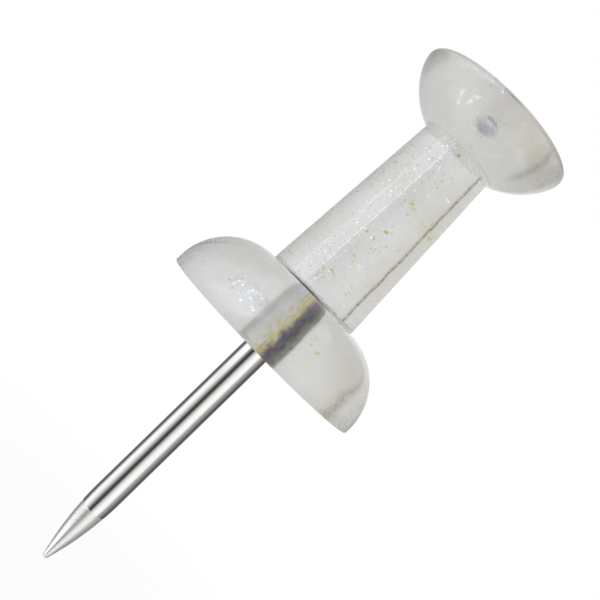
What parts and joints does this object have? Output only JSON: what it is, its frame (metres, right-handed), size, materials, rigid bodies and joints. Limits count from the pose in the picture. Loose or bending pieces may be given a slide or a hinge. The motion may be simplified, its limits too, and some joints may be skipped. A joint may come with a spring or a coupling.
{
  "type": "push pin",
  "caption": "Push pin with a clear glitter-filled moulded grip, flared crown, tapered stem and domed flange, on a pointed steel needle.",
  "frame": {"origin": "centre of the flange's flat underside, where the needle leaves the plastic", "axes": "+Z along the needle's axis towards the crown; the point is towards -Z; the part is round about Z"},
  "size_m": [0.0088, 0.0088, 0.0229],
  "materials": {
    "clear_polystyrene": "clear moulded polystyrene, slightly milky, gloss",
    "needle_steel": "bright nickel-plated steel wire with a ground point",
    "gold_film": "metallised polyester film, yellow-green gold",
    "violet_film": "iridescent polyester film, violet-blue",
    "silver_film": "metallised polyester film, silver white"
  },
  "bodies": {
    "root": {"grip": "clear_polystyrene", "needle": "needle_steel", "glitter_gold": "gold_film", "glitter_violet": "violet_film", "glitter_silver": "silver_film"}
  },
  "joints": []
}
